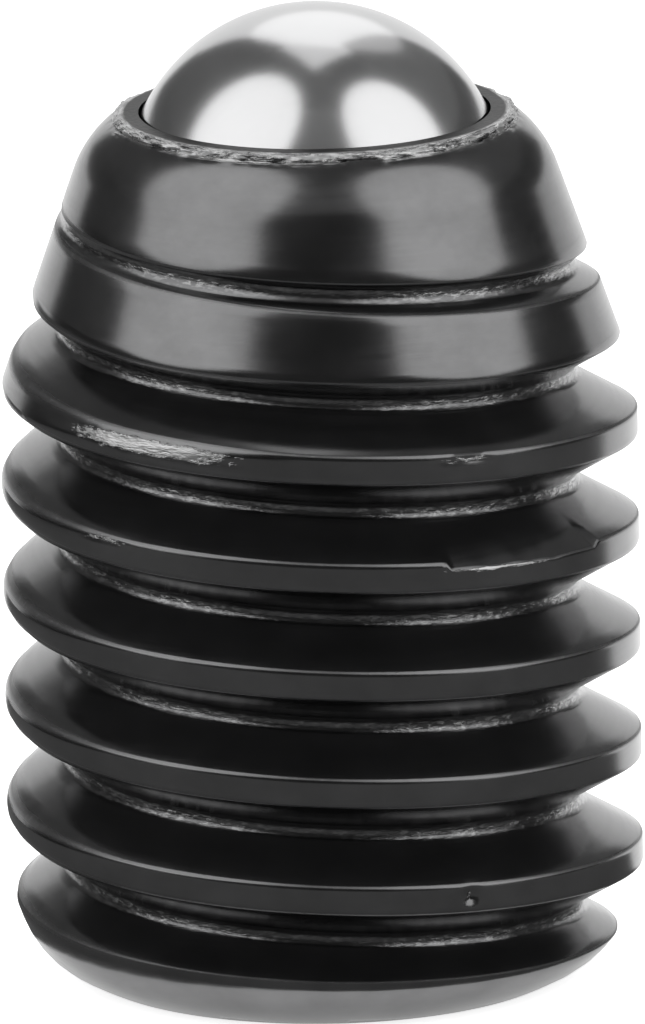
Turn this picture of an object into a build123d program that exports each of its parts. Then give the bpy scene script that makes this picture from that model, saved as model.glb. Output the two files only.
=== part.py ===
from build123d import *
from math import ceil, cos, radians, sin, sqrt, tan
import os

# Ball-nose spring plunger: a threaded steel body with a hex socket in its flat
# end and a crimped rim at its nose, a compression spring and a captive ball.
# Millimetres. The flat end stands on z = 0 and the ball points to +Z.

# ---- Driving dimensions ------------------------------------------------------

# Body
body_length = 8.0
end_face_d = 4.4          # flat part of the lower end
end_bevel_d = 5.3         # where the end bevel meets the lead-in taper
end_bevel_height = 0.21
lead_in_height = 0.88     # end of the taper that starts the thread
nose_start = 5.45         # where the crest cylinder turns into the nose cone
nose_half_angle = 19.2    # degrees from the axis
crimp_height = 0.39       # height of the rolled-in shoulder under the rim
rim_width = 0.13          # flat land left on top of the crimped rim

# Thread
crest_d = 5.8             # M6 major diameter as cut
thread_pitch = 1.0
thread_angle = 60.0
crest_flat = 0.25
root_width = 0.115        # width of the groove's bottom before its corners are bevelled
root_bevel = 0.05
left_hand = True
crest_at_x = 0.080        # height of a crest centre on the +X side

# Ball
ball_d = 3.5
ball_protrusion = 0.97    # above the rim
ball_clearance = 0.03     # radial, in the bore and under the rim

# Hex socket in the flat end
hex_across_flats = 3.0
hex_depth = 1.6
hex_drill_angle = 120.0   # included angle of the pilot drill's point
hex_mouth_margin = 0.12   # mouth countersink beyond the hexagon's corners
hex_mouth_angle = 90.0
socket_web = 0.45         # metal between the drill point and the bore's floor

# Spring
spring_wire_d = 0.40
spring_wire_sides = 8     # the round wire is drawn with this many flats
spring_bore_clearance = 0.13
spring_seat_gap = 0.02    # at the bore's floor and under the ball
spring_active_turns = 3
spring_end_gap = 0.03     # between neighbouring turns of a closed end

# ---- Sizes that follow -------------------------------------------------------

crest_r = crest_d / 2
ball_r = ball_d / 2
bore_r = ball_r + ball_clearance
ball_z = body_length + ball_protrusion - ball_r
rim_inner_r = sqrt(bore_r**2 - (body_length - ball_z) ** 2)
rim_outer_r = rim_inner_r + rim_width

crimp_start_z = body_length - crimp_height
crimp_start_r = crest_r - (crimp_start_z - nose_start) * tan(radians(nose_half_angle))

hex_drill_depth = hex_across_flats / 2 / tan(radians(hex_drill_angle / 2))
bore_floor_z = hex_depth + hex_drill_depth + socket_web

# The groove starts below the flat end and runs on until the nose cone is
# narrower than its root.
groove_depth = (thread_pitch - crest_flat - root_width) / 2 / tan(radians(thread_angle / 2))
root_r = crest_r - groove_depth
bevel_r = root_r + root_bevel
cutter_r = crest_r + crest_flat / 4
groove_start_z = crest_at_x - 1.5 * thread_pitch
nose_runout_z = nose_start + (crest_r - root_r) / tan(radians(nose_half_angle))
groove_turns = ceil((nose_runout_z - groove_start_z) / thread_pitch) + 1

# Spring
spring_outer_r = bore_r - spring_bore_clearance
spring_mean_r = spring_outer_r - spring_wire_d / 2
spring_inner_r = spring_outer_r - spring_wire_d
spring_foot_z = bore_floor_z + spring_seat_gap
spring_top_z = ball_z - sqrt(ball_r**2 - spring_inner_r**2) - spring_seat_gap
spring_end_pitch = spring_wire_d + spring_end_gap
spring_active_height = spring_top_z - spring_foot_z - 2 * spring_end_pitch
spring_active_pitch = spring_active_height / spring_active_turns


def groove_half_width(radius):
    """Half the width of the thread's groove at a distance from the axis."""
    at_crest = (thread_pitch - crest_flat) / 2
    return at_crest - (crest_r - radius) * tan(radians(thread_angle / 2))


# ---- Threaded body -----------------------------------------------------------

with BuildPart() as threaded_body:
    # Turned blank with its bore and crimped rim, as one profile of revolution.
    with BuildSketch(Plane.XZ):
        with BuildLine():
            Polyline(
                (0, bore_floor_z),
                (0, 0),
                (end_face_d / 2, 0),
                (end_bevel_d / 2, end_bevel_height),
                (crest_r, lead_in_height),
                (crest_r, nose_start),
                (crimp_start_r, crimp_start_z),
            )
            TangentArc(
                (crimp_start_r, crimp_start_z),
                (rim_outer_r, body_length),
                tangent=(-sin(radians(nose_half_angle)), cos(radians(nose_half_angle))),
            )
            Line((rim_outer_r, body_length), (rim_inner_r, body_length))
            RadiusArc((rim_inner_r, body_length), (bore_r, ball_z), bore_r)
            Polyline((bore_r, ball_z), (bore_r, bore_floor_z), (0, bore_floor_z))
        make_face()
    revolve(axis=Axis.Z)

    # Hex socket: countersunk mouth, hexagon and the pilot drill's point.
    with BuildSketch(Plane.XY):
        RegularPolygon(hex_across_flats / 2, 6, major_radius=False)
    extrude(amount=hex_depth, mode=Mode.SUBTRACT)
    hex_corner_r = hex_across_flats / sqrt(3)
    mouth_r = hex_corner_r + hex_mouth_margin
    mouth_height = (mouth_r - hex_across_flats / 2) / tan(radians(hex_mouth_angle / 2))
    Cone(
        mouth_r,
        hex_across_flats / 2,
        mouth_height,
        align=(Align.CENTER, Align.CENTER, Align.MIN),
        mode=Mode.SUBTRACT,
    )
    with Locations((0, 0, hex_depth)):
        Cone(
            hex_across_flats / 2,
            0,
            hex_drill_depth,
            align=(Align.CENTER, Align.CENTER, Align.MIN),
            mode=Mode.SUBTRACT,
        )

    # Thread: one helical groove of true form, cut turn by turn from below the
    # flat end up to where its root runs out of the nose cone.
    for turn in range(groove_turns):
        turn_z = groove_start_z + turn * thread_pitch
        with BuildLine() as groove_path:
            Helix(thread_pitch, thread_pitch, crest_r, center=(0, 0, turn_z), lefthand=left_hand)
        with BuildSketch(Plane.XZ) as groove_section:
            with BuildLine():
                Polyline(
                    (root_r, turn_z - groove_half_width(bevel_r) + root_bevel),
                    (bevel_r, turn_z - groove_half_width(bevel_r)),
                    (cutter_r, turn_z - groove_half_width(cutter_r)),
                    (cutter_r, turn_z + groove_half_width(cutter_r)),
                    (bevel_r, turn_z + groove_half_width(bevel_r)),
                    (root_r, turn_z + groove_half_width(bevel_r) - root_bevel),
                    close=True,
                )
            make_face()
        sweep(groove_section.sketch, path=groove_path.wire(), is_frenet=True, mode=Mode.SUBTRACT)

threaded_body.part.label = "threaded_body"


# ---- Spring ------------------------------------------------------------------

with BuildPart() as spring:
    # Closed end, open turns, closed end: each begins and ends on the +X side.
    section_z = spring_foot_z
    for turns, pitch in (
        (1, spring_end_pitch),
        (spring_active_turns, spring_active_pitch),
        (1, spring_end_pitch),
    ):
        with BuildLine() as wire_path:
            Helix(pitch, turns * pitch, spring_mean_r, center=(0, 0, section_z))
        with BuildSketch(Plane.XZ) as wire_section:
            with Locations((spring_mean_r, section_z)):
                RegularPolygon(spring_wire_d / 2, spring_wire_sides)
        sweep(wire_section.sketch, path=wire_path.wire(), is_frenet=True)
        section_z += turns * pitch
    # Both ends are ground flat.
    split(bisect_by=Plane.XY.offset(spring_foot_z), keep=Keep.TOP)
    split(bisect_by=Plane.XY.offset(spring_top_z), keep=Keep.BOTTOM)

spring.part.label = "spring"


# ---- Ball --------------------------------------------------------------------

with BuildPart() as ball:
    with Locations((0, 0, ball_z)):
        Sphere(ball_r)

ball.part.label = "ball"


# ---- Export ------------------------------------------------------------------

os.makedirs("parts", exist_ok=True)
export_step(threaded_body.part, "parts/threaded_body.step")
export_step(spring.part, "parts/spring.step")
export_step(ball.part, "parts/ball.step")
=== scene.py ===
import math

import bmesh
import bpy
import numpy as np
from mathutils import Matrix, Vector, noise


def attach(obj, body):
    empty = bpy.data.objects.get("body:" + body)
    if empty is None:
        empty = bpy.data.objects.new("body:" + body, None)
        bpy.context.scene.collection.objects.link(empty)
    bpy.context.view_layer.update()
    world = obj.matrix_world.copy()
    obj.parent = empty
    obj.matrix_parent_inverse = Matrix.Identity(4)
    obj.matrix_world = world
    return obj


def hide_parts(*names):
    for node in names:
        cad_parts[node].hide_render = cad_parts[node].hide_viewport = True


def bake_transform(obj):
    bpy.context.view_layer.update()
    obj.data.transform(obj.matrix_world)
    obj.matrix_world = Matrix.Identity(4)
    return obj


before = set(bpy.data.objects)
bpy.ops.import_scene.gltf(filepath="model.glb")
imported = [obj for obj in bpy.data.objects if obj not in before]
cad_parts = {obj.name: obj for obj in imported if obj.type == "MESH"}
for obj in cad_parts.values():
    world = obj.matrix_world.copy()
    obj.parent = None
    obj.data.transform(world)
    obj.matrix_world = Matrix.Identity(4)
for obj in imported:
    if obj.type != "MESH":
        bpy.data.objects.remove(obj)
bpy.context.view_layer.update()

MM = 0.001

bl_info = {
    "name": "Ball-nose spring plunger",
    "version": (1, 0, 0),
    "blender": (4, 5, 0),
    "location": "3D View > Sidebar > Plunger",
    "description": "Builds a ball-nose plunger's threaded body, captive ball and coil spring",
    "category": "Add Mesh",
}


# ---- Sizes and colours -------------------------------------------------------

THREAD_HALF_ANGLE = math.radians(30)
DRILL_POINT_SLOPE = math.tan(math.radians(30))


def length(name, description, millimetres):
    """A size of the object, kept in metres and shown in the scene's units."""
    return bpy.props.FloatProperty(
        name=name,
        description=description,
        default=millimetres * MM,
        min=0.0,
        precision=5,
        unit="LENGTH",
        subtype="DISTANCE",
    )


def angle(name, description, degrees):
    """An angle, kept in radians and shown in degrees."""
    return bpy.props.FloatProperty(
        name=name,
        description=description,
        default=math.radians(degrees),
        unit="ROTATION",
        subtype="ANGLE",
    )


def share(name, description, value):
    """A number from 0 to 1."""
    return bpy.props.FloatProperty(
        name=name, description=description, default=value, min=0.0, max=1.0, subtype="FACTOR"
    )


def number(name, description, value, low=0.0):
    """A plain number with a lower limit."""
    return bpy.props.FloatProperty(name=name, description=description, default=value, min=low)


def count(name, description, value, low, high):
    """A whole number between two limits."""
    return bpy.props.IntProperty(
        name=name, description=description, default=value, min=low, max=high
    )


def colour(name, description, grey):
    """A neutral metal colour."""
    return bpy.props.FloatVectorProperty(
        name=name, description=description, default=grey, min=0.0, max=1.0, size=3, subtype="COLOR"
    )


class BodySizes(bpy.types.PropertyGroup):
    """The turned blank, its thread and its hex socket."""

    body_length: length("Body length", "From the flat end to the rim", 8.0)
    end_face_d: length("End face diameter", "Flat part of the lower end", 4.4)
    end_bevel_d: length("End bevel diameter", "Where the bevel meets the lead-in", 5.3)
    end_bevel_height: length("End bevel height", "Height of the lower bevel", 0.21)
    lead_in_height: length("Lead-in height", "Where the lead-in reaches the crests", 0.88)
    nose_start: length("Nose start", "Height at which the nose cone begins", 5.45)
    nose_half_angle: angle("Nose half angle", "Slope of the nose cone from the axis", 19.2)
    end_rounding: length("End rounding", "Rounding of the end bevel's corner", 0.36)
    crimp_height: length("Crimp height", "Height of the shoulder under the rim", 0.55)
    rim_width: length("Rim width", "Flat land on top of the rim", 0.13)
    burr_height: length("Burr height", "Height of the torn burr round the rim", 0.065)
    burr_width: length("Burr width", "Width of the burr outside the rim's land", 0.11)
    crest_d: length("Crest diameter", "Across the thread's crests", 5.8)
    thread_pitch: length("Thread pitch", "Rise of the thread in one turn", 1.0)
    crest_flat: length("Crest flat", "Width of the land on the crest", 0.25)
    root_radius: length("Root radius", "Rounding at the bottom of the groove", 0.10)
    run_out_depth: length("Run-out depth", "Extra depth at the groove's end", 0.045)
    crest_at_x: length("Crest height", "Height of a crest's centre on the +X side", 0.080)
    edge_round: length("Edge rounding", "Width of the worn edges of the thread", 0.016)
    crest_wear: length("Crest wear", "Wear of the crests' edges at one side", 0.030)
    seat_clearance: length("Seat clearance", "Gap round the ball", 0.03)
    hex_across_flats: length("Hex across flats", "Key size of the socket in the flat end", 3.0)
    hex_depth: length("Hex depth", "Depth of the socket's flats", 1.6)
    hex_mouth_margin: length("Hex mouth margin", "Countersink past the corners", 0.12)
    socket_web: length("Socket web", "Metal between socket and bore", 0.45)
    columns: count("Columns", "Faces round the body, a multiple of six", 360, 48, 480)


class BallSizes(bpy.types.PropertyGroup):
    """The captive ball."""

    ball_d: length("Ball diameter", "Across the ball", 3.5)
    ball_protrusion: length("Ball protrusion", "Height of the ball over the rim", 0.97)


class SpringSizes(bpy.types.PropertyGroup):
    """The compression spring under the ball."""

    wire_d: length("Wire diameter", "Across the round wire", 0.40)
    bore_clearance: length("Bore clearance", "Gap between the coil and the bore", 0.13)
    seat_gap: length("Seat gap", "Gap at the bore's floor and under the ball", 0.02)
    end_gap: length("End gap", "Gap between the turns of a closed end", 0.03)
    active_turns: count("Active turns", "Open turns between the closed ends", 3, 1, 12)


class Finishes(bpy.types.PropertyGroup):
    """Colours of the metals, and their wear."""

    oxide: colour("Black oxide", "Reflection of the blackened steel", (0.182, 0.182, 0.184))
    bare: colour("Bare steel", "Steel where the oxide is broken or rubbed off", (0.62, 0.62, 0.62))
    ball: colour("Ball steel", "Lapped bearing steel", (0.60, 0.60, 0.605))
    spring: colour("Spring wire", "Drawn spring wire", (0.42, 0.42, 0.42))
    wear: share("Wear", "How much of the oxide is rubbed off", 0.75)


class StageSettings(bpy.types.PropertyGroup):
    """Camera and lamps."""

    elevation: angle("Camera elevation", "Height of the camera above the horizon", 13.74)
    roll: angle("Camera roll", "Turn of the camera about its own axis", 0.855)
    view_height: length("View height", "Height that the view shows", 9.326)
    aim_right: length("Aim right", "Camera's aim right of the middle", 0.015)
    aim_up: length("Aim up", "Camera's aim over the middle", 0.232)
    focal_length: number("Focal length", "Long, so that upright edges stay parallel", 1000.0, 50.0)
    softbox_strength: number("Softbox strength", "Brightness of the side lamps; 1 is white", 1.35)
    top_strength: number("Back lamp strength", "Brightness of the lamp above and behind", 0.5)


# ---- Mesh helpers ------------------------------------------------------------


def new_object(name, data):
    """A new object, linked to the scene."""
    obj = bpy.data.objects.new(name, data)
    bpy.context.scene.collection.objects.link(obj)
    return obj


def put_in_scene(name, mesh, material):
    """A new object with that mesh and material."""
    mesh.materials.append(material)
    return new_object(name, mesh)


def mesh_from_grid(name, points, quads, masks, merge):
    """A mesh from points and quads, with its doubles merged and a float attribute for each mask."""
    mesh = bpy.data.meshes.new(name)
    mesh.from_pydata(points.tolist(), [], quads)
    for label, values in masks.items():
        layer = mesh.attributes.new(label, "FLOAT", "POINT")
        layer.data.foreach_set("value", np.ascontiguousarray(values, np.float32))
    bm = bmesh.new()
    bm.from_mesh(mesh)
    bmesh.ops.remove_doubles(bm, verts=bm.verts, dist=merge)
    bmesh.ops.dissolve_degenerate(bm, edges=bm.edges, dist=merge)
    bmesh.ops.recalc_face_normals(bm, faces=bm.faces)
    bm.to_mesh(mesh)
    bm.free()
    mesh.shade_smooth()
    return mesh


def between(start, end, steps):
    """Even steps from one value to another, with both of them."""
    return [start + (end - start) * i / steps for i in range(steps + 1)]


def spun(radius, around, height):
    """Points at radii, angles and heights."""
    return np.stack([radius * np.cos(around), radius * np.sin(around), height], -1)


def ring_quads(first, second, columns):
    """Quads between two rings of the same number of points."""
    return [
        (first + j, first + (j + 1) % columns, second + (j + 1) % columns, second + j)
        for j in range(columns)
    ]


def angles_from_front(points):
    """Degrees from the front, positive to the right, of an array of points."""
    return np.degrees(np.arctan2(points[:, 0], -points[:, 1]))


# ---- Threaded body -----------------------------------------------------------

# The groove is deeper where it runs out through the nose: from this share of the body's length
# on, and in full this share of a turn later.
RUN_OUT_START = 0.82
RUN_OUT_FADE = 0.25

# Steps along the rounded corner at the end bevel.
CORNER_STEPS = 5

# The groove's edges are searched for in coarse steps first, then by halving one step.
REACH_STEPS = 241
REACH_HALVINGS = 20


class BodyForm:
    """Worked-out radii and heights of the threaded body, and its surface as a function."""

    def __init__(self, sizes, ball):
        self.s = sizes
        self.crest_r = sizes.crest_d / 2
        self.pitch = sizes.thread_pitch
        ball_r = ball.ball_d / 2
        self.bore_r = ball_r + sizes.seat_clearance
        self.ball_z = sizes.body_length + ball.ball_protrusion - ball_r
        self.rim_inner_r = math.sqrt(self.bore_r**2 - (sizes.body_length - self.ball_z) ** 2)
        self.rim_outer_r = self.rim_inner_r + sizes.rim_width
        self.crimp_z = sizes.body_length - sizes.crimp_height
        slope = math.tan(sizes.nose_half_angle)
        self.crimp_r = self.crest_r - (self.crimp_z - sizes.nose_start) * slope
        self.drill_depth = sizes.hex_across_flats / 2 * DRILL_POINT_SLOPE
        self.bore_floor_z = sizes.hex_depth + self.drill_depth + sizes.socket_web
        # The groove is a V of 60 degrees with a round root.
        half_width = (self.pitch - sizes.crest_flat) / 2
        self.flank_slope = 1 / math.tan(THREAD_HALF_ANGLE)
        self.apex_r = self.crest_r - half_width * self.flank_slope
        self.root_centre_r = self.apex_r + sizes.root_radius / math.sin(THREAD_HALF_ANGLE)
        self.tangent_offset = sizes.root_radius * math.cos(THREAD_HALF_ANGLE)

    def blank(self, z):
        """Radius of the turned blank below the crimp."""
        s = self.s
        low = np.array([0, s.end_face_d / 2])
        corner = np.array([s.end_bevel_height, s.end_bevel_d / 2])
        high = np.array([s.lead_in_height, self.crest_r])
        before, after = (
            corner + (end - corner) * min(1.0, s.end_rounding / np.hypot(*(end - corner)))
            for end in (low, high)
        )
        outline = [low]
        for t in between(0, 1, CORNER_STEPS):
            outline.append((1 - t) ** 2 * before + 2 * t * (1 - t) * corner + t * t * after)
        outline += [high, (s.nose_start, self.crest_r), (self.crimp_z, self.crimp_r)]
        heights, radii = zip(*outline)
        return np.interp(z, heights, radii)

    def deepening(self, centre):
        """The tool digs in a little deeper where the groove runs out through the nose."""
        start = RUN_OUT_START * self.s.body_length
        t = np.clip((centre - start) / (RUN_OUT_FADE * self.pitch), 0, 1)
        return self.s.run_out_depth * t * t * (3 - 2 * t)

    def groove(self, offset, centre):
        """Radius of the groove's surface at a distance up or down from its centre's height."""
        u = np.abs(offset)
        round_part = np.sqrt(np.maximum(self.s.root_radius**2 - u**2, 0))
        root = self.root_centre_r - round_part
        flank = self.apex_r + u * self.flank_slope
        return np.where(u < self.tangent_offset, root, flank) - self.deepening(centre)

    def groove_centre(self, turn, around):
        """Height of the groove's centre, which falls as the angle grows: a left-hand thread."""
        return self.s.crest_at_x + self.pitch * (turn + 0.5 - around / (2 * math.pi))

    def surface(self, z, around):
        """Radius of the finished outside at a height and an angle."""
        offset = z - self.groove_centre(0, around)
        offset = (offset + self.pitch / 2) % self.pitch - self.pitch / 2
        return np.minimum(self.blank(z), self.groove(offset, z - offset))

    def groove_reach(self, centre, side):
        """How far up (1) or down (-1) from its centre the groove cuts into the blank."""
        steps = np.linspace(0, self.pitch / 2, REACH_STEPS)
        z = centre[:, None] + side * steps[None, :]
        cut = self.groove(steps[None, :], centre[:, None]) < self.blank(z)
        last = np.where(cut.any(1), cut.shape[1] - 1 - cut[:, ::-1].argmax(1), 0)
        lo, hi = steps[last], steps[np.minimum(last + 1, len(steps) - 1)]
        for _ in range(REACH_HALVINGS):
            mid = (lo + hi) / 2
            inside = self.groove(mid, centre) < self.blank(centre + side * mid)
            lo, hi = np.where(inside, mid, lo), np.where(inside, hi, mid)
        return np.where(cut.any(1), lo, 0.0)


# Rows of points in one turn of the thread, upwards: the crest's land and its upper edge, a flank,
# the groove's root, the other flank and the next crest's lower edge.
LAND_ROWS = 9
FLANK_ROWS = 5
ROOT_ROWS = 6
EDGE_ROWS = (LAND_ROWS, LAND_ROWS + 2 * FLANK_ROWS + ROOT_ROWS + 2)
ROOT_CENTRE_ROW = LAND_ROWS + 1 + FLANK_ROWS + ROOT_ROWS // 2

# An edge's rounding is never wider than this share of the land or of half the groove.
EDGE_SHARE = 0.25

# The crests are worn round along the left: from and to (angle from the front), how many degrees
# the wear takes to set in at each end, and how many times the edges' rounding widens there.
WORN_FROM, WORN_TO = -35.0, -165.0
WORN_FADES = (40.0, 40.0 / 1.15)
WORN_WIDENING = 3.0

# Widths of a crest, in mm, up to which it is crowned in full and from which it isn't at all, and
# how far the crowning fades over the lead-in and over the nose's start.
CROWNED_WIDTHS = (0.30, 0.45)
CROWN_FADE = 0.30 * MM
THIN = 0.01 * MM


def column_angles(columns):
    """Angles of the columns of points, in radians from +X."""
    return np.arange(columns) * 2 * math.pi / columns


def column_angles_from_front(around):
    """The same angles as degrees from the front, positive to the right."""
    return (np.degrees(around) + 270) % 360 - 180


def worn_round(around):
    """How far the crests are worn round, from 0 to 1: most at the left, seen from the front."""
    turned = column_angles_from_front(around)
    setting_in = (WORN_FROM - turned) / WORN_FADES[0]
    ending = (turned - WORN_TO) / WORN_FADES[1]
    worn = np.clip(np.minimum(setting_in, ending), 0, 1)
    return worn * worn * (3 - 2 * worn)


def crown_crests(form, radii, heights, around, per_turn):
    """Crowns the narrow crests between the lead-in and the nose where they are worn round."""
    amount = worn_round(around) * form.s.crest_wear
    for low in range(per_turn + LAND_ROWS, len(heights), per_turn):
        start = low - LAND_ROWS - 1
        width = heights[low] - heights[start]
        full, none = CROWNED_WIDTHS
        narrow = np.clip((none - width / MM) / (none - full), 0, 1)
        above = np.clip((heights[start] - form.s.lead_in_height) / CROWN_FADE, 0, 1)
        below = np.clip(1 + (form.s.nose_start - heights[low]) / CROWN_FADE, 0, 1)
        for row in range(start, low + 1):
            across = (heights[row] - heights[start]) / np.maximum(width, THIN)
            radii[row] -= amount * narrow * above * below * (2 * across - 1) ** 2


def thread_heights(form, turn, around):
    """Heights of one turn's rows, from the top of the groove below to the top of this one."""
    centre = form.groove_centre(turn, around)
    below = form.groove_centre(turn - 1, around)
    start = below + form.groove_reach(below, 1)
    down, up = form.groove_reach(centre, -1), form.groove_reach(centre, 1)
    low, high = centre - down, centre + up
    worn = form.s.edge_round * (1 + WORN_WIDENING * worn_round(around))
    edge = np.minimum(worn, EDGE_SHARE * np.minimum(down, up))
    land_edge = np.minimum(worn, EDGE_SHARE * (low - start))
    tangent_low = centre - np.minimum(down - edge, form.tangent_offset)
    tangent_high = centre + np.minimum(up - edge, form.tangent_offset)
    return [
        *between(start + land_edge, low - land_edge, LAND_ROWS - 1),
        low,
        *between(low + edge, tangent_low, FLANK_ROWS)[:-1],
        *between(tangent_low, tangent_high, ROOT_ROWS)[:-1],
        *between(tangent_high, high - edge, FLANK_ROWS),
        high,
    ]


# Stretches where a crest's upper edge has broken away: from, to (angle from the front), the
# crest's height at the front, and how much is missing, in mm.
CHIPPED = (
    (23.5, 60.0, 4.47, 0.055),
    (-171.0, -140.0, 2.47, 0.050),
)

# Share of a chip's depth at the edge's row and at the flank's next rows.
CHIP_FALL = (1.0, 1.0, 0.66, 0.33)

# A chip takes the crest whose height is within this share of the pitch. Its depth varies by the
# next share, in so many waves.
CHIP_REACH = 0.4
CHIP_RAGGED = 0.25
CHIP_WAVES = 14

# A surface counts as cut by the groove in full from this depth on; the masks stop short of the
# flat end and of the crimp.
CUT_FADE = 0.10 * MM
MASK_MARGINS = (0.01 * MM, 0.02 * MM)


def chip_crests(form, heights, around, per_turn):
    """Lowers a crest's upper edge, and the flank beside it, where the edge has broken away."""
    turned = column_angles_from_front(around)
    fallen = turned / 360 * form.pitch
    ragged = [noise.noise(Vector((math.cos(a), math.sin(a), 0)) * CHIP_WAVES) for a in around]
    for first, last, height, missing in CHIPPED:
        hit = (turned > first) & (turned < last)
        for edge in range(LAND_ROWS, len(heights) - len(CHIP_FALL) + 1, per_turn):
            off = np.abs(heights[edge] + fallen - height * MM)
            here = hit & (off < CHIP_REACH * form.pitch)
            drop = here * (1 + CHIP_RAGGED * np.array(ragged)) * missing * MM
            for step in range(1, LAND_ROWS):
                heights[edge - LAND_ROWS + step] -= drop * step / LAND_ROWS
            for step, amount in enumerate(CHIP_FALL):
                heights[edge + step] -= drop * amount


def threaded_surface(form):
    """Points, quads and masks of the outside, from the flat end's edge up to the crimp."""
    columns = form.s.columns
    around = column_angles(columns)
    turns = range(-2, int(form.crimp_z / form.pitch) + 3)
    heights = np.array([row for turn in turns for row in thread_heights(form, turn, around)])
    heights = np.clip(heights, 0.0, form.crimp_z)
    radii = form.surface(heights, around[None, :])
    per_turn = len(heights) // len(turns)
    crown_crests(form, radii, heights, around, per_turn)
    # Round the thread's two edges: each edge row moves half-way to its neighbours' chord.
    for edge in EDGE_ROWS:
        rows = np.arange(edge, len(heights) - 1, per_turn)
        for table in (radii, heights):
            table[rows] = table[rows] / 2 + (table[rows - 1] + table[rows + 1]) / 4
    chip_crests(form, heights, around, per_turn)
    points = spun(radii, around, heights).reshape(-1, 3)
    quads = []
    total = len(heights)
    for row in range(total - 1):
        base = row * columns
        quads += ring_quads(base, base + columns, columns)[:-1]
        # The last column meets the first one a turn lower down.
        lower = row - per_turn
        if lower >= 0:
            low_base = lower * columns
            last = base + columns - 1
            quads.append((last, low_base, low_base + columns, last + columns))
    kind = np.arange(total) % per_turn
    root = np.clip(1 - np.abs(kind - ROOT_CENTRE_ROW) / (ROOT_ROWS / 2), 0, 1)
    edge = np.isin(kind, EDGE_ROWS) * 1.0
    cut = np.clip((form.blank(heights) - radii) / CUT_FADE, 0, 1)
    inside = (heights > MASK_MARGINS[0]) & (heights < form.crimp_z - MASK_MARGINS[1])
    near_cut = np.maximum(cut, np.maximum(np.roll(cut, 1, 0), np.roll(cut, -1, 0)))
    masks = {
        "root": (root[:, None] * cut * inside).ravel(),
        "edge": (edge[:, None] * (near_cut > 0) * inside).ravel(),
    }
    return points, quads, masks


# Rings of the end: on the face, as a share of the way out; round the drill point, just inside the
# flats; and the last one of a blind end, as shares of the radius. Its disc closes the mesh.
FACE_RING = 0.6
DRILL_RING = 0.999
LAST_RING = 0.02


def end_rings(form, around):
    """Rings of (radius, height) from the flat end's edge inwards and up the hex socket."""
    s = form.s
    face = s.end_face_d / 2
    drill = s.hex_across_flats / 2
    sixth = math.pi / 3
    hexagon = drill / np.cos((around % sixth) - sixth / 2)
    mouth = s.hex_across_flats / math.sqrt(3) + s.hex_mouth_margin
    return [
        (face, 0),
        (mouth + FACE_RING * (face - mouth), 0),
        (mouth, 0),
        ((hexagon + mouth) / 2, (mouth - hexagon) / 2),
        (hexagon, mouth - hexagon),
        (hexagon, s.hex_depth / 2),
        (hexagon, s.hex_depth),
        (drill * DRILL_RING, s.hex_depth),
        (drill / 2, s.hex_depth + form.drill_depth / 2),
        (drill * LAST_RING, s.hex_depth + form.drill_depth * (1 - LAST_RING)),
    ]


ARC_STEPS = 14
BORE_STEPS = 8


def crimp_arc(form):
    """The rolled shoulder: an arc that leaves the nose smoothly and ends at the burr's foot."""
    lean = form.s.nose_half_angle
    start = np.array([form.crimp_r, form.crimp_z])
    end = np.array([form.rim_outer_r + form.s.burr_width, form.s.body_length - form.s.burr_height])
    normal = np.array([-math.cos(lean), -math.sin(lean)])
    chord = end - start
    radius = chord @ chord / (2 * chord @ normal)
    centre = start + normal * radius
    first = math.atan2(*(start - centre)[::-1])
    last = math.atan2(*(end - centre)[::-1])
    for a in between(first, last, ARC_STEPS):
        yield centre[0] + radius * math.cos(a), centre[1] + radius * math.sin(a)


# Rings of the burr: out from its foot as a share of its width, and up as a share of its height.
BURR_PROFILE = (
    (0.03, 0.02),
    (0.05, 0.22),
    (-0.04, 0.45),
    (-0.20, 0.62),
    (-0.40, 0.78),
    (-0.65, 0.92),
)

# Rings of the rim's land, as shares of its width from the bore.
LAND_RINGS = (1.0, 0.85, 0.5, 0.15, 0.0)

# How far under the burr's foot and inside the land's edge the roughness begins.
BURR_MARGINS = (0.02 * MM, 0.03 * MM)

# Noise on the burr: waves round the rim, waves over its height, and push and lift in mm. All of
# it is pushed in by the last value first.
BURR_NOISE = (
    (5.0, 2.2, 0.018, 0.012),
    (19.0, 3.0, 0.014, 0.012),
    (60.0, 4.0, 0.006, 0.0),
)
BURR_SINK = 0.008


def rim_rings(form):
    """Rings of (radius, height) from the crimp's foot over the rim and down the bore."""
    s = form.s
    rings = list(crimp_arc(form))
    top = s.body_length
    foot_r, foot_z = form.rim_outer_r + s.burr_width, top - s.burr_height
    for out, up in BURR_PROFILE:
        rings.append((foot_r + s.burr_width * out, foot_z + s.burr_height * up))
    rings += [(form.rim_inner_r + s.rim_width * t, top) for t in LAND_RINGS]
    first = math.asin((top - form.ball_z) / form.bore_r)
    for a in between(first, 0.0, BORE_STEPS)[1:]:
        rings.append((form.bore_r * math.cos(a), form.ball_z + form.bore_r * math.sin(a)))
    rings.append((form.bore_r, form.bore_floor_z))
    rings.append((form.bore_r * LAST_RING, form.bore_floor_z))
    return rings


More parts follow.
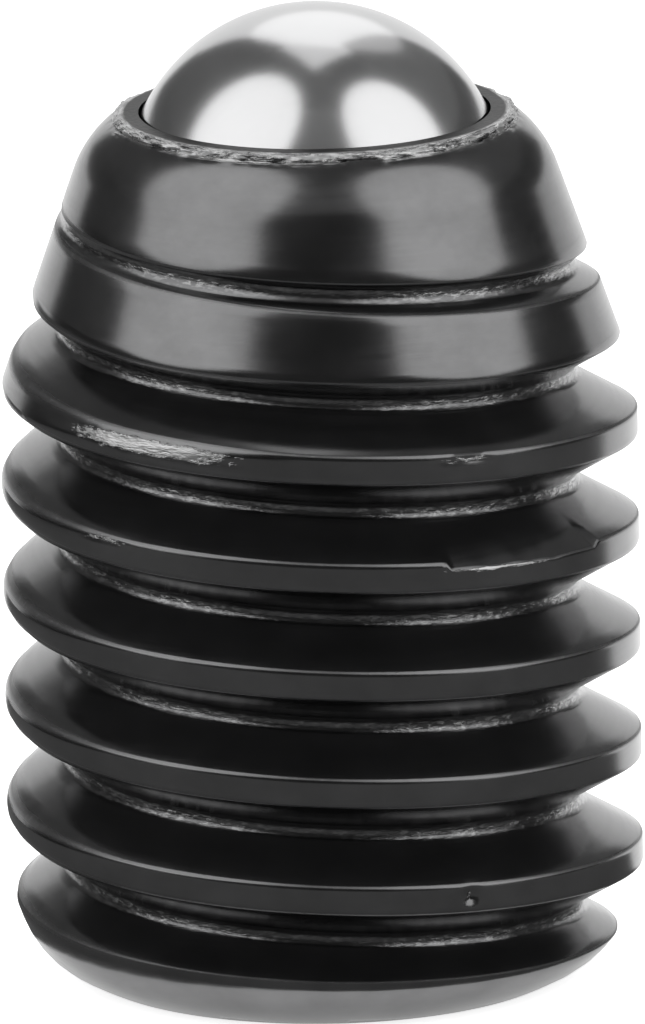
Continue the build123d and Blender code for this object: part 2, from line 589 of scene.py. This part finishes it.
def roughen_rim(points, form):
    """The burr isn't even: long torn strips of it stand out or are broken away."""
    top = form.s.body_length
    foot = top - form.s.burr_height
    under, inside = BURR_MARGINS
    flat = np.hypot(points[:, 0], points[:, 1])
    near = (points[:, 2] > foot - under) & (flat > form.rim_outer_r - inside)
    for i in np.nonzero(near)[0]:
        x, y, z = points[i]
        along = math.atan2(y, x)
        ring = Vector((math.cos(along), math.sin(along), 0))
        up = (z - foot) / form.s.burr_height
        push = lift = 0.0
        for waves, waves_up, out, rise in BURR_NOISE:
            value = noise.noise(ring * waves + Vector((0, 0, waves_up * up)))
            push += out * value
            lift += rise * value
        # The roughness sets in just under the burr's foot and fades over its top.
        fade = min(1.0, max(0.0, 4 * up + 0.8)) * min(1.0, max(0.0, 3.0 - 3.0 * up) + 0.25)
        push = fade * (push - BURR_SINK) * MM
        points[i, 0] += x / flat[i] * push
        points[i, 1] += y / flat[i] * push
        points[i, 2] = min(top, z + fade * lift * MM)


# Knocks on the crests: angle from the front (right positive), height, width and depth in mm.
KNOCKS = (
    (26.9, 1.28, 0.07, 0.050),
    (121.0, 2.95, 0.15, 0.050),
    (178.0, 4.80, 0.16, 0.045),
    (-128.0, 1.62, 0.13, 0.045),
)

# Torn stretches of a crest: from and to (angle from the front), height, width and roughness in
# mm, and how much of the stretch is bare metal.
TORN = (
    (-55.0, -11.0, 5.460, 0.062, 0.008, 1.0),
    (20.0, 34.0, 5.335, 0.030, 0.008, 0.5),
    (20.5, 49.0, 4.290, 0.016, 0.0, 0.95),
    (-50.0, -36.0, 4.54, 0.03, 0.006, 0.5),
    (140.0, 171.0, 5.20, 0.10, 0.018, 0.9),
    (-150.0, -112.0, 3.72, 0.06, 0.015, 0.7),
)

# Only points this near the blank's outline are dented or torn.
CREST_DEPTH = 0.025 * MM

# A knock is a little taller than wide; a tear fades over its ends and over its sides.
KNOCK_SQUEEZE = 0.7
KNOCK_STEEPNESS = 2
KNOCK_BARE = 0.4
TEAR_ENDS = 1.6
TEAR_SIDES = 1.5
TEAR_ROUGHNESS = 0.9
TEAR_GRAIN = 0.06 * MM


def mark_crests(points, form):
    """Presses dents and torn stretches into the crests, and returns how bare each point is."""
    r = np.hypot(points[:, 0], points[:, 1])
    turned = angles_from_front(points)
    outside = r > form.blank(points[:, 2]) - CREST_DEPTH
    outside &= points[:, 2] < form.crimp_z
    bare = np.zeros(len(points))
    push = np.zeros(len(points))
    for degrees, height, width, depth in KNOCKS:
        across = np.radians((turned - degrees + 180) % 360 - 180) * form.crest_r
        over = (points[:, 2] - height * MM) * KNOCK_SQUEEZE
        apart = np.hypot(across, over) / (width * MM)
        fall = np.where(outside, np.exp(-(apart**2) * KNOCK_STEEPNESS), 0)
        push = np.maximum(push, fall * depth)
        bare = np.maximum(bare, KNOCK_BARE * fall)
    rough = [noise.noise(Vector(p) / TEAR_GRAIN) for p in points]
    for first, last, height, width, depth, amount in TORN:
        middle = (first + last) / 2
        along = np.abs((turned - middle + 180) % 360 - 180) / (last - middle)
        fallen = (turned - middle) / 360 * form.pitch / MM
        apart = np.abs(points[:, 2] / MM - height + fallen) / width
        ends = np.clip(TEAR_ENDS - TEAR_ENDS * along, 0, 1)
        fall = ends * np.clip(TEAR_SIDES - apart, 0, 1) * outside
        raised = TEAR_ROUGHNESS + TEAR_ROUGHNESS * np.array(rough)
        push = np.maximum(push, fall * depth * raised)
        bare = np.maximum(bare, fall * amount)
    points[:, 0] -= points[:, 0] / r * push * MM
    points[:, 1] -= points[:, 1] / r * push * MM
    return bare


# The groove's bottom keeps its oxide round the front: centre and width in degrees, and share.
ROOT_OXIDE = (-4, 22, 0.6)

# Masks round the rim: how far outside the land's edge they begin and end, the burr's share that
# is torn, and how far down the land's mask goes.
RIM_MARGIN = 0.01 * MM
LAND_MARGIN = 0.001 * MM
RIM_DEPTH = 1.01
LAND_DEPTH = 0.2 * MM

BODY_WELD = 2e-7
SHARP_ANGLE = math.radians(40)


def build_body(sizes, ball, material):
    """The threaded body as one closed mesh."""
    form = BodyForm(sizes, ball)
    columns = sizes.columns
    around = column_angles(columns)
    points, quads, masks = threaded_surface(form)
    groups = [points]
    blank = np.zeros(len(points))
    layers = {"root": [masks["root"]], "edge": [masks["edge"]], "rim": [blank], "land": [blank]}
    total = len(points)
    zeros = np.zeros(columns)
    for rings, is_rim in ((end_rings(form, around), False), (rim_rings(form), True)):
        for i, (radius, height) in enumerate(rings):
            radius, height = radius + zeros, height + zeros
            groups.append(spun(radius, around, height))
            if i:
                quads += ring_quads(total - columns, total, columns)
            total += columns
            for values in layers.values():
                values.append(zeros)
            if is_rim:
                below_top = sizes.body_length - height
                torn = radius > form.rim_outer_r + RIM_MARGIN
                layers["rim"][-1] = (torn & (below_top < RIM_DEPTH * sizes.burr_height)) * 1.0
                inner = radius < form.rim_outer_r + LAND_MARGIN
                layers["land"][-1] = (inner & (below_top < LAND_DEPTH)) * 1.0
        quads.append(tuple(range(total - columns, total)))
    points = np.concatenate(groups)
    roughen_rim(points, form)
    bare = mark_crests(points, form)
    masks = {key: np.concatenate(values) for key, values in layers.items()}
    masks["bare"] = bare
    middle, width, kept = ROOT_OXIDE
    turned = angles_from_front(points)
    masks["root"] = masks["root"] * (1 - kept * np.exp(-(((turned - middle) / width) ** 2)))
    mesh = mesh_from_grid("threaded_body_fine", points, quads, masks, BODY_WELD)
    mesh.set_sharp_from_angle(angle=SHARP_ANGLE)
    body = put_in_scene("threaded_body_fine", mesh, material)
    even = body.modifiers.new("even_shading", "WEIGHTED_NORMAL")
    even.keep_sharp = True
    return body


# ---- Ball and spring ---------------------------------------------------------

BALL_SUBDIVISIONS = 6
WIRE_SIDES = 20
WIRE_STEPS = 72
WIRE_WELD = 1e-8


def build_ball(sizes, body, material):
    """The ball as an even, dense sphere."""
    centre = body.body_length + sizes.ball_protrusion - sizes.ball_d / 2
    bm = bmesh.new()
    bmesh.ops.create_icosphere(bm, subdivisions=BALL_SUBDIVISIONS, radius=sizes.ball_d / 2)
    bmesh.ops.translate(bm, verts=bm.verts, vec=(0, 0, centre))
    mesh = bpy.data.meshes.new("steel_ball")
    bm.to_mesh(mesh)
    bm.free()
    mesh.shade_smooth()
    return put_in_scene("steel_ball", mesh, material)


def spring_line(sizes, foot, top, mean_r):
    """Centre points of the wire: closed end, open turns, closed end."""
    end_rise = sizes.wire_d + sizes.end_gap
    turns = sizes.active_turns + 2
    knots = [foot, *between(foot + end_rise, top - end_rise, sizes.active_turns), top]
    for i in range(turns * WIRE_STEPS + 1):
        turn = i / WIRE_STEPS
        a = 2 * math.pi * turn
        z = float(np.interp(turn, range(turns + 1), knots))
        yield Vector((mean_r * math.cos(a), mean_r * math.sin(a), z)), a


def build_spring(sizes, body, ball, material):
    """The coil as a round wire, ground flat at both ends."""
    form = BodyForm(body, ball)
    outer_r = form.bore_r - sizes.bore_clearance
    wire_r = sizes.wire_d / 2
    ball_r = ball.ball_d / 2
    foot = form.bore_floor_z + sizes.seat_gap
    top = form.ball_z - math.sqrt(ball_r**2 - (outer_r - sizes.wire_d) ** 2) - sizes.seat_gap
    points, quads = [], []
    for centre, a in spring_line(sizes, foot, top, outer_r - wire_r):
        outward = Vector((math.cos(a), math.sin(a), 0))
        for k in range(WIRE_SIDES):
            b = 2 * math.pi * k / WIRE_SIDES
            p = centre + outward * (wire_r * math.cos(b)) + Vector((0, 0, wire_r * math.sin(b)))
            p.z = min(max(p.z, foot), top)
            points.append(p)
    for i in range(len(points) // WIRE_SIDES - 1):
        quads += ring_quads(i * WIRE_SIDES, (i + 1) * WIRE_SIDES, WIRE_SIDES)
    quads.append(tuple(range(WIRE_SIDES)))
    quads.append(tuple(range(len(points) - WIRE_SIDES, len(points))))
    mesh = mesh_from_grid("coil_spring", np.array(points), quads, {}, WIRE_WELD)
    spring = put_in_scene("coil_spring", mesh, material)
    closed = sizes.wire_d + sizes.end_gap
    return spring, (0, 0, foot + closed), (0, 0, top - closed)


# ---- Materials ---------------------------------------------------------------

# Radius, in mm, at which noise drawn out round the axis has its true length.
GRAIN_RADIUS = 2.5

# Reflection of the thickest oxide in the roots, also used as painted shade on the rim's land.
DARKEST_OXIDE_AND_SHADE = (0.02, 0.02, 0.02)


class Nodes:
    """A short way to write the node tree of a material or a world."""

    def __init__(self, owner):
        owner.use_nodes = True
        self.owner = owner
        self.tree = owner.node_tree
        self.shader = self.tree.nodes.get("Principled BSDF")

    def feed(self, socket, value):
        """Links a socket to a value, or sets it."""
        if isinstance(value, bpy.types.NodeSocket):
            self.tree.links.new(value, socket)
        else:
            socket.default_value = value

    def add(self, kind, inputs=(), **settings):
        """A new node with its settings and inputs."""
        node = self.tree.nodes.new("ShaderNode" + kind)
        for key, value in settings.items():
            setattr(node, key, value)
        for key, value in dict(inputs).items():
            self.feed(node.inputs[key], value)
        return node

    def set(self, socket, value):
        """One input of the shader."""
        self.feed(self.shader.inputs[socket], value)

    def matt(self, grey, roughness):
        """Makes the shader plain and matt."""
        self.set("Base Color", (grey, grey, grey, 1))
        self.set("Roughness", roughness)
        self.set("Specular IOR Level", 0.0)

    def math(self, operation, a, b=0.0, clamp=False):
        """One sum, of sockets or numbers."""
        node = self.add("Math", {0: a, 1: b}, operation=operation, use_clamp=clamp)
        return node.outputs[0]

    def times(self, a, b, clamp=False):
        """One product."""
        return self.math("MULTIPLY", a, b, clamp)

    def greatest(self, first, *others):
        """The greatest of several values."""
        for other in others:
            first = self.math("MAXIMUM", first, other)
        return first

    def mask(self, name):
        """A float attribute of the mesh."""
        return self.add("Attribute", attribute_name=name).outputs["Fac"]

    def place(self, scale):
        """Object coordinates in millimetres, stretched by a scale for each axis."""
        where = self.add("TexCoord").outputs["Object"]
        scale = tuple(v / MM for v in scale)
        return self.add("Mapping", {"Vector": where, "Scale": scale}).outputs["Vector"]

    def noise_at(self, place, detail, rough):
        """Noise read at a place."""
        inputs = {"Vector": place, "Scale": 1.0, "Detail": detail, "Roughness": rough}
        return self.add("TexNoise", inputs).outputs["Fac"]

    def noise(self, scale, detail=3.0, rough=0.5):
        """Noise with its grains per millimetre for each axis."""
        return self.noise_at(self.place(scale), detail, rough)

    def noise_round(self, along, across, detail, rough):
        """Noise drawn out round the axis: grains per millimetre along and across the turning."""
        where = self.add("TexCoord").outputs["Object"]
        parts = self.add("SeparateXYZ", {0: where}).outputs
        back = self.times(parts[1], -1.0)
        around = self.math("ARCTAN2", parts[0], back)
        turned = self.times(around, GRAIN_RADIUS * along)
        up = self.times(parts[2], across / MM)
        flat = self.add("CombineXYZ", {0: parts[0], 1: parts[1]}).outputs[0]
        radius = self.add("VectorMath", {0: flat}, operation="LENGTH").outputs["Value"]
        out = self.times(radius, across / MM)
        place = self.add("CombineXYZ", {0: turned, 1: up, 2: out}).outputs[0]
        return self.noise_at(place, detail, rough)

    def ramp(self, value, low, high, to_low=0.0, to_high=1.0):
        """A value mapped from one range to another, and held at its ends."""
        names = ("Value", "From Min", "From Max", "To Min", "To Max")
        inputs = dict(zip(names, (value, low, high, to_low, to_high)))
        return self.add("MapRange", inputs, clamp=True).outputs["Result"]

    def blend(self, factor, a, b):
        """A colour between two others, given as sockets or as red, green and blue."""
        node = self.add("Mix", {"Factor": factor}, data_type="RGBA")
        for index, value in ((6, a), (7, b)):
            is_socket = isinstance(value, bpy.types.NodeSocket)
            self.feed(node.inputs[index], value if is_socket else (*value[:3], 1.0))
        return node.outputs[2]

    def bump(self, height, strength, distance, below=None):
        """A bumped normal; the distance is in millimetres."""
        inputs = {"Height": height, "Strength": strength, "Distance": distance * MM}
        if below is not None:
            inputs["Normal"] = below
        return self.add("Bump", inputs).outputs["Normal"]


def shade(colour_value, factor):
    """A colour made lighter or darker."""
    return tuple(v * factor for v in colour_value)


def black_oxide(finishes):
    """Blackened steel: turning marks, a cloudy sheen, bare metal at rubbed edges, roots and rim,
    and painted shade on the rim's land.
    """
    n = Nodes(bpy.data.materials.new("black_oxide_steel"))
    turning = n.noise((0.7, 0.7, 48.0), 3.0, 0.6)
    cloud = n.noise((1.6, 1.6, 2.4), 4.0, 0.6)
    grain = n.noise((32.0, 32.0, 32.0), 2.0, 0.6)
    speckle = n.noise((22.0, 22.0, 20.0), 3.0, 0.65)
    patches = n.noise((1.9, 1.9, 1.3), 2.0)
    flecks = n.noise_round(9.0, 26.0, 3.0, 0.65)
    strips = n.noise_round(2.6, 17.0, 3.0, 0.6)
    in_root = n.times(n.mask("root"), n.ramp(patches, 0.35, 0.60, 0.35, 1.0))
    at_root = n.times(in_root, n.ramp(flecks, 0.50, 0.60))
    at_edge = n.times(n.mask("edge"), n.ramp(speckle, 0.58, 0.72, 0.0, 0.25))
    at_rim = n.times(n.mask("rim"), n.ramp(strips, 0.42, 0.56))
    ragged = n.times(n.math("SUBTRACT", flecks, 0.5), 1.6)
    torn = n.math("ADD", n.mask("bare"), ragged)
    at_tear = n.times(n.ramp(torn, 0.40, 0.62), n.ramp(n.mask("bare"), 0.02, 0.15))
    worn = n.greatest(at_root, at_edge, at_rim, at_tear)
    worn = n.times(worn, finishes.wear, clamp=True)
    dark, light = shade(finishes.oxide, 0.90), shade(finishes.oxide, 1.08)
    oxide = n.blend(n.ramp(cloud, 0.35, 0.65), dark, light)
    # The oxide is thickest and darkest in the roots; the rim's land is painted near black, as
    # painted shade of the gap round the ball.
    root_oxide_and_land_shade = n.greatest(n.times(in_root, 0.5), n.times(n.mask("land"), 0.95))
    dark_oxide_and_shade = n.blend(root_oxide_and_land_shade, oxide, DARKEST_OXIDE_AND_SHADE)
    n.set("Base Color", n.blend(worn, dark_oxide_and_shade, finishes.bare))
    n.set("Metallic", 1.0)
    sheen = n.ramp(n.math("ADD", turning, cloud), 0.7, 1.3, 0.17, 0.22)
    matt = n.greatest(
        n.times(worn, 0.14),
        n.times(n.mask("edge"), 0.18),
        n.times(n.mask("land"), 0.25),
    )
    n.set("Roughness", n.math("ADD", sheen, matt))
    n.set("Anisotropic", 0.3)
    tangent = n.add("Tangent", direction_type="RADIAL", axis="Z")
    n.set("Tangent", tangent.outputs["Tangent"])
    fine = n.bump(turning, 0.05, 0.004)
    grainy = n.bump(grain, 0.06, 0.003, fine)
    in_all_roots = n.times(n.mask("root"), 0.9)
    broken = n.greatest(worn, in_all_roots, n.times(n.mask("land"), 0.5))
    n.set("Normal", n.bump(n.times(flecks, broken), 0.8, 0.020, grainy))
    return n.owner


def ball_steel(finishes):
    """Lapped bearing steel, a little hazy, with a few hairline marks."""
    n = Nodes(bpy.data.materials.new("bearing_steel"))
    haze = n.noise((1.3, 1.3, 1.3), 3.0)
    marks = n.noise((4.0, 30.0, 6.0), 2.0, 0.7)
    grain = n.noise((55.0, 55.0, 55.0), 2.0)
    n.set("Base Color", n.blend(n.ramp(haze, 0.3, 0.7), shade(finishes.ball, 0.95), finishes.ball))
    n.set("Metallic", 1.0)
    dull = n.math("ADD", haze, n.times(marks, 0.3))
    n.set("Roughness", n.ramp(dull, 0.45, 0.85, 0.17, 0.23))
    n.set("Normal", n.bump(grain, 0.04, 0.003))
    return n.owner


def drawn_wire(finishes):
    """Spring wire with faint marks from the die."""
    n = Nodes(bpy.data.materials.new("spring_steel"))
    lines = n.noise((3.0, 3.0, 22.0), 3.0, 0.6)
    dark = shade(finishes.spring, 0.8)
    n.set("Base Color", n.blend(n.ramp(lines, 0.35, 0.7), dark, finishes.spring))
    n.set("Metallic", 1.0)
    n.set("Roughness", n.ramp(lines, 0.3, 0.7, 0.25, 0.38))
    n.set("Normal", n.bump(lines, 0.08, 0.006))
    return n.owner


# ---- Studio ------------------------------------------------------------------

CARD_DISTANCE = 60 * MM

# Cards bent round the object: name, share of CARD_DISTANCE, azimuths from the front and
# elevations in degrees, and grey.
CARDS = (
    ("front_card_low", 1.0, (-32, 30), (-4, 38), 0.06),
    ("front_card_high", 1.0, (-32, 30), (37, 66), 0.24),
    ("left_card_low", 1.0, (-133, -28), (-4, 8), 0.06),
    ("left_card_mid", 1.0, (-156, -28), (8, 22), 0.12),
    ("left_card_high", 1.0, (-154, -28), (22, 66), 0.15),
    ("right_card_low", 1.0, (27, 124), (-4, 8), 0.07),
    ("right_card_mid", 1.0, (27, 155), (8, 22), 0.10),
    ("right_card_high", 1.0, (27, 155), (22, 66), 0.19),
    ("top_card", 1.1, (-150, 140), (62, 90), 0.17),
)
CARD_STEPS = 12

# The card over the floor: inner radius, azimuths and grey.
FLOOR_CARD = (2.90 * MM, (-152, 119), 0.15)
FLOOR_CARD_STEPS = 24
FLOOR_CARD_HEIGHT = 0.05 * MM

# Round lamps: name, azimuth and elevation in degrees, and width and height as shares of their
# distance.
LAMP_DISTANCE = 0.6 * CARD_DISTANCE
SIDE_LAMPS = (
    ("softbox_left", -60, 40, 1.16, 1.56),
    ("softbox_right", 63, 35, 1.06, 1.46),
)
BACK_LAMP = ("softbox_back", 173, 52, 0.80, 0.72)

# The floor lies just under the flat end, and glows for reflections and for the camera.
FLOOR_HALF = 150 * MM
FLOOR_Z = -0.01 * MM
FLOOR_GLOW = (0.48, 0.75)

SENSOR_WIDTH = 36.0


def white_surround(n, output, seen, other):
    """One shader for the camera and for reflections, and another one for every other ray."""
    rays = n.add("LightPath").outputs
    names = ("Is Camera Ray", "Is Glossy Ray", "Is Transmission Ray")
    either = n.greatest(*[rays[name] for name in names])
    mix = n.add("MixShader", {0: either, 1: other, 2: seen})
    n.tree.links.new(mix.outputs[0], output)


def studio_world():
    """A white room for the camera and for reflections, and plain grey light for the rest."""
    world = bpy.data.worlds.new("white_room")
    bpy.context.scene.world = world
    n = Nodes(world)
    n.tree.nodes.clear()
    colours = [(1.0, 1.0, 1.0, 1), (0.8, 0.8, 0.8, 1)]
    white, plain = [n.add("Background", {"Color": c}).outputs[0] for c in colours]
    output = n.add("OutputWorld")
    white_surround(n, output.inputs["Surface"], white, plain)


def card(name, corners, grey):
    """A flat or bent studio card that the camera doesn't see, as a strip of corner pairs."""
    mesh = bpy.data.meshes.new(name)
    faces = [(i, i + 1, i + 3, i + 2) for i in range(0, len(corners) - 2, 2)]
    mesh.from_pydata(corners, [], faces)
    n = Nodes(bpy.data.materials.new(name))
    n.matt(grey, 0.9)
    obj = put_in_scene(name, mesh, n.owner)
    obj.visible_camera = False
    obj.visible_diffuse = False
    obj.visible_shadow = False


def direction(azimuth, elevation):
    """Unit vector: azimuth from the front, positive to the right, and elevation, in degrees."""
    a, e = math.radians(azimuth), math.radians(elevation)
    return Vector((math.sin(a) * math.cos(e), -math.cos(a) * math.cos(e), math.sin(e)))


def arc_card(name, centre, distance, azimuths, elevations, grey):
    """A card bent round the object between two azimuths and two elevations."""
    corners = []
    for a in between(*azimuths, CARD_STEPS):
        corners += [centre + direction(a, elevation) * distance for elevation in elevations]
    card(name, corners, grey)


def floor_card(name, inner, outer, azimuths, grey):
    """A card just over the floor, as part of a ring round the object."""
    corners = []
    up = Vector((0, 0, FLOOR_CARD_HEIGHT))
    for a in between(*azimuths, FLOOR_CARD_STEPS):
        for radius in (inner, outer):
            corners.append(direction(a, 0) * radius + up)
    card(name, corners, grey)


def softbox(centre, name, azimuth, elevation, width, height, radiance):
    """A soft round lamp that faces the object."""
    width, height = LAMP_DISTANCE * width, LAMP_DISTANCE * height
    lamp = bpy.data.lights.new(name, "AREA")
    lamp.shape = "ELLIPSE"
    lamp.size, lamp.size_y = width, height
    lamp.energy = radiance * math.pi * width * height * (math.pi / 4)
    obj = new_object(name, lamp)
    obj.location = centre + direction(azimuth, elevation) * LAMP_DISTANCE
    obj.rotation_mode = "QUATERNION"
    obj.rotation_quaternion = direction(azimuth, elevation).to_track_quat("Z", "Y")
    obj.visible_camera = False


def studio_floor():
    """A plain pale floor that shows white to the camera and keeps the object's shadow."""
    mesh = bpy.data.meshes.new("floor")
    signs = ((-1, -1), (1, -1), (1, 1), (-1, 1))
    corners = [(x * FLOOR_HALF, y * FLOOR_HALF, FLOOR_Z) for x, y in signs]
    mesh.from_pydata(corners, [], [(0, 1, 2, 3)])
    n = Nodes(bpy.data.materials.new("pale_floor"))
    n.matt(0.8, 0.8)
    seen = n.add("LightPath").outputs["Is Camera Ray"]
    glow = n.add("Emission", {"Strength": n.ramp(seen, 0.0, 1.0, *FLOOR_GLOW)})
    matt = n.shader.outputs[0]
    both = n.add("AddShader", {0: matt, 1: glow.outputs[0]})
    # The floor is clear from underneath, so that the object's end can be seen.
    under = n.add("NewGeometry").outputs["Backfacing"]
    clear = n.add("BsdfTransparent").outputs[0]
    sides = n.add("MixShader", {"Fac": under, 2: clear})
    white_surround(n, sides.inputs[1], both.outputs[0], matt)
    surface = n.tree.nodes["Material Output"].inputs["Surface"]
    n.tree.links.new(sides.outputs[0], surface)
    floor = put_in_scene("floor", mesh, n.owner)


def studio_camera(stage, middle):
    """A long lens, raised a little and turned to the stage's tilt."""
    lens = bpy.data.cameras.new("camera")
    lens.lens = stage.focal_length
    lens.sensor_width = SENSOR_WIDTH
    lens.sensor_fit = "AUTO"
    lens.clip_start = 0.001
    lens.clip_end = 2.0
    camera = new_object("camera", lens)
    bpy.context.scene.camera = camera
    e = stage.elevation
    back = Vector((0, -math.cos(e), math.sin(e)))
    right = Vector((1, 0, 0))
    up = back.cross(right)
    turn = Matrix.Rotation(-stage.roll, 3, back)
    right, up = turn @ right, turn @ up
    distance = stage.view_height * stage.focal_length / SENSOR_WIDTH
    target = middle + right * stage.aim_right + up * stage.aim_up
    camera.location = target + back * distance
    camera.rotation_mode = "QUATERNION"
    camera.rotation_quaternion = Matrix((right, up, back)).transposed().to_quaternion()


# ---- Operators ---------------------------------------------------------------


class PLUNGER_OT_body(bpy.types.Operator):
    """Builds the threaded body with its groove, nose, rim and hex socket"""

    bl_idname = "plunger.body"
    bl_label = "Threaded body"

    def execute(self, context):
        scene = context.scene
        material = black_oxide(scene.plunger_finishes)
        body = build_body(scene.plunger_body, scene.plunger_ball, material)
        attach(body, "casing")
        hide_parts("threaded_body")
        return {"FINISHED"}


class PLUNGER_OT_ball(bpy.types.Operator):
    """Builds the captive steel ball"""

    bl_idname = "plunger.ball"
    bl_label = "Ball"

    def execute(self, context):
        scene = context.scene
        material = ball_steel(scene.plunger_finishes)
        ball = build_ball(scene.plunger_ball, scene.plunger_body, material)
        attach(ball, "ball")
        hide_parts("ball")
        return {"FINISHED"}


class PLUNGER_OT_spring(bpy.types.Operator):
    """Builds the compression spring between the bore's floor and the ball"""

    bl_idname = "plunger.spring"
    bl_label = "Spring"

    def execute(self, context):
        scene = context.scene
        material = drawn_wire(scene.plunger_finishes)
        spring, start, end = build_spring(
            scene.plunger_spring, scene.plunger_body, scene.plunger_ball, material
        )
        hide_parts("spring")
        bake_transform(spring)
        return {"FINISHED"}


class PLUNGER_OT_stage(bpy.types.Operator):
    """Builds the floor, the studio cards, the lamps and the camera"""

    bl_idname = "plunger.stage"
    bl_label = "Stage"

    def execute(self, context):
        scene = context.scene
        stage = scene.plunger_stage
        centre = Vector((0, 0, scene.plunger_body.body_length / 2))
        studio_world()
        studio_floor()
        for name, far, azimuths, elevations, grey in CARDS:
            arc_card(name, centre, CARD_DISTANCE * far, azimuths, elevations, grey)
        inner, azimuths, grey = FLOOR_CARD
        floor_card("floor_card", inner, CARD_DISTANCE, azimuths, grey)
        for lamp in SIDE_LAMPS:
            softbox(centre, *lamp, stage.softbox_strength)
        softbox(centre, *BACK_LAMP, stage.top_strength)
        studio_camera(stage, centre)
        scene.view_settings.view_transform = "Standard"
        return {"FINISHED"}


class PLUNGER_PT_panel(bpy.types.Panel):
    """Lists the pieces of the plunger and their sizes."""

    bl_idname = "PLUNGER_PT_panel"
    bl_label = "Ball-nose plunger"
    bl_space_type = "VIEW_3D"
    bl_region_type = "UI"
    bl_category = "Plunger"

    def draw(self, context):
        layout = self.layout
        for name, operator in STEPS:
            box = layout.box()
            box.operator(operator)
            settings = getattr(context.scene, name)
            for key in settings.__annotations__:
                box.prop(settings, key)
        for key in context.scene.plunger_finishes.__annotations__:
            layout.prop(context.scene.plunger_finishes, key)


STEPS = (
    ("plunger_body", "plunger.body"),
    ("plunger_ball", "plunger.ball"),
    ("plunger_spring", "plunger.spring"),
    ("plunger_stage", "plunger.stage"),
)

SETTINGS = {
    "plunger_body": BodySizes,
    "plunger_ball": BallSizes,
    "plunger_spring": SpringSizes,
    "plunger_finishes": Finishes,
    "plunger_stage": StageSettings,
}

CLASSES = (
    *SETTINGS.values(),
    PLUNGER_OT_body,
    PLUNGER_OT_ball,
    PLUNGER_OT_spring,
    PLUNGER_OT_stage,
    PLUNGER_PT_panel,
)


def register():
    for cls in CLASSES:
        bpy.utils.register_class(cls)
    for name, cls in SETTINGS.items():
        setattr(bpy.types.Scene, name, bpy.props.PointerProperty(type=cls))


def unregister():
    for name in SETTINGS:
        delattr(bpy.types.Scene, name)
    for cls in reversed(CLASSES):
        bpy.utils.unregister_class(cls)


def main():
    """Builds every piece and the stage."""
    register()
    bpy.ops.plunger.body()
    bpy.ops.plunger.ball()
    bpy.ops.plunger.spring()
    bpy.ops.plunger.stage()


if __name__ == "__main__":
    main()
